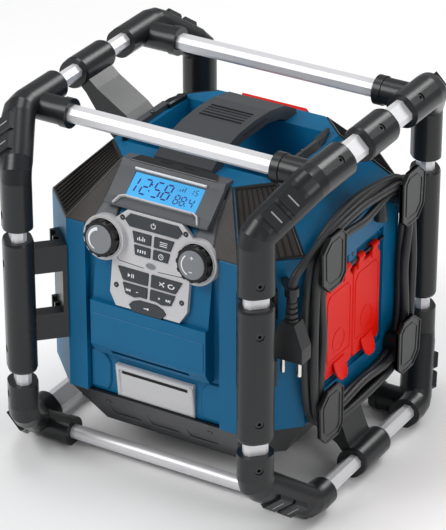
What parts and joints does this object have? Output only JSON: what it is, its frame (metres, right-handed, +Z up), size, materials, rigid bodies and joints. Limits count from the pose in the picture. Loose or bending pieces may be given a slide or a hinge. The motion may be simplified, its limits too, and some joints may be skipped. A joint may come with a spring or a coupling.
{
  "type": "jobsite radio",
  "caption": "Jobsite radio: a chamfered housing with corner loudspeakers, control panel, hinged socket lids and wound mains cord, held in a tubular roll cage.",
  "frame": {"origin": "on the ground, under the middle of the cage", "axes": "+Z up, -Y towards the control panel, +X towards the socket lids"},
  "size_m": [0.3762, 0.3972, 0.4081],
  "materials": {
    "black_plastic": "satin",
    "blue_plastic": "satin",
    "grey_plastic": "satin",
    "silver_plastic": "satin",
    "red_plastic": "satin",
    "aluminium_tube": "satin anodised",
    "grille_cloth": "fine mesh",
    "display_glass": "gloss",
    "knob_cap": "satin",
    "cord_rubber": "matte",
    "steel_screw": "black oxide",
    "plug_pin": "polished",
    "cone_paper": "matte",
    "board_green": "satin"
  },
  "bodies": {
    "root": {"top_elbow_rear_right": "black_plastic", "bottom_elbow_rear_right": "black_plastic", "speaker_grille_rear_right": "grille_cloth", "top_elbow_rear_left": "black_plastic", "bottom_elbow_rear_left": "black_plastic", "speaker_grille_rear_left": "grille_cloth", "top_elbow_front_right": "black_plastic", "bottom_elbow_front_right": "black_plastic", "speaker_grille_front_right": "grille_cloth", "top_elbow_front_left": "black_plastic", "bottom_elbow_front_left": "black_plastic", "speaker_grille_front_left": "grille_cloth", "cage_posts": "aluminium_tube", "top_side_rails": "aluminium_tube", "bottom_side_rails": "aluminium_tube", "top_cross_rails": "aluminium_tube", "bottom_cross_rails": "aluminium_tube", "post_brackets": "black_plastic", "top_clamps": "black_plastic", "bottom_clamps": "black_plastic", "cable_hooks": "black_plastic", "socket_block": "black_plastic", "cage_screws": "steel_screw", "housing": "blue_plastic", "base_pan": "grey_plastic", "bass_loudspeaker": "cone_paper", "corner_loudspeakers": "cone_paper", "carry_handle": "grey_plastic", "deck_trims": "grey_plastic", "display_hood": "grey_plastic", "display_window": "display_glass", "control_panel": "silver_plastic", "badge_frame": "silver_plastic", "lid_hinge_pin": "steel_screw", "rear_door_pin": "steel_screw", "cord_coil": "cord_rubber", "cord_lead": "cord_rubber", "plug_body": "cord_rubber", "cord_clip": "cord_rubber", "cord_gland": "cord_rubber", "plug_pins": "plug_pin", "circuit_board": "board_green", "power_supply": "grey_plastic"},
    "power_button": {"power_button": "black_plastic"},
    "equalizer_button": {"equalizer_button": "black_plastic"},
    "custom_button": {"custom_button": "black_plastic"},
    "memory_button": {"memory_button": "black_plastic"},
    "clock_button": {"clock_button": "black_plastic"},
    "play_button": {"play_button": "black_plastic"},
    "shuffle_button": {"shuffle_button": "black_plastic"},
    "seek_down_button": {"seek_down_button": "black_plastic"},
    "seek_up_button": {"seek_up_button": "black_plastic"},
    "source_button": {"source_button": "black_plastic"},
    "volume_knob": {"volume_knob": "knob_cap"},
    "tune_knob": {"tune_knob": "knob_cap"},
    "front_socket_lid": {"front_socket_lid": "red_plastic"},
    "rear_socket_lid": {"rear_socket_lid": "red_plastic"},
    "rear_door": {"rear_door": "blue_plastic"},
    "rear_door_latch": {"rear_door_latch": "red_plastic"}
  },
  "joints": [
    {"name": "volume_turn", "type": "hinge", "parent": "root", "child": "volume_knob", "pos_m": [-0.055, -0.14636, 0.28186], "axis": [0, -0.9877, 0.1564], "continuous": true},
    {"name": "tune_turn", "type": "hinge", "parent": "root", "child": "tune_knob", "pos_m": [0.055, -0.14636, 0.28186], "axis": [0, -0.9877, 0.1564], "continuous": true},
    {"name": "power_press", "type": "slide", "parent": "root", "child": "power_button", "axis": [0, 0.9877, -0.1564], "range_m": [0, 0.001], "stiffness_N_per_m": 300, "springref_m": -0.001},
    {"name": "equalizer_press", "type": "slide", "parent": "root", "child": "equalizer_button", "axis": [0, 0.9877, -0.1564], "range_m": [0, 0.001], "stiffness_N_per_m": 300, "springref_m": -0.001},
    {"name": "custom_press", "type": "slide", "parent": "root", "child": "custom_button", "axis": [0, 0.9877, -0.1564], "range_m": [0, 0.001], "stiffness_N_per_m": 300, "springref_m": -0.001},
    {"name": "memory_press", "type": "slide", "parent": "root", "child": "memory_button", "axis": [0, 0.9877, -0.1564], "range_m": [0, 0.001], "stiffness_N_per_m": 300, "springref_m": -0.001},
    {"name": "clock_press", "type": "slide", "parent": "root", "child": "clock_button", "axis": [0, 0.9877, -0.1564], "range_m": [0, 0.001], "stiffness_N_per_m": 300, "springref_m": -0.001},
    {"name": "play_press", "type": "slide", "parent": "root", "child": "play_button", "axis": [0, 0.9877, -0.1564], "range_m": [0, 0.001], "stiffness_N_per_m": 300, "springref_m": -0.001},
    {"name": "shuffle_press", "type": "slide", "parent": "root", "child": "shuffle_button", "axis": [0, 0.9877, -0.1564], "range_m": [0, 0.001], "stiffness_N_per_m": 300, "springref_m": -0.001},
    {"name": "seek_down_press", "type": "slide", "parent": "root", "child": "seek_down_button", "axis": [0, 0.9877, -0.1564], "range_m": [0, 0.001], "stiffness_N_per_m": 300, "springref_m": -0.001},
    {"name": "seek_up_press", "type": "slide", "parent": "root", "child": "seek_up_button", "axis": [0, 0.9877, -0.1564], "range_m": [0, 0.001], "stiffness_N_per_m": 300, "springref_m": -0.001},
    {"name": "source_press", "type": "slide", "parent": "root", "child": "source_button", "axis": [0, 0.9877, -0.1564], "range_m": [0, 0.001], "stiffness_N_per_m": 300, "springref_m": -0.001},
    {"name": "front_lid_hinge", "type": "hinge", "parent": "root", "child": "front_socket_lid", "pos_m": [0.1513, 0, 0.241], "axis": [0, -1, 0], "range_deg": [0, 110]},
    {"name": "rear_lid_hinge", "type": "hinge", "parent": "root", "child": "rear_socket_lid", "pos_m": [0.1513, 0, 0.241], "axis": [0, -1, 0], "range_deg": [0, 110]},
    {"name": "rear_door_hinge", "type": "hinge", "parent": "root", "child": "rear_door", "pos_m": [0, 0.145, 0.114], "axis": [-1, 0, 0], "range_deg": [0, 90]},
    {"name": "latch_hinge", "type": "hinge", "parent": "rear_door", "child": "rear_door_latch", "pos_m": [0, 0.1148, 0.331], "axis": [-1, 0, 0], "range_deg": [0, 40]}
  ]
}
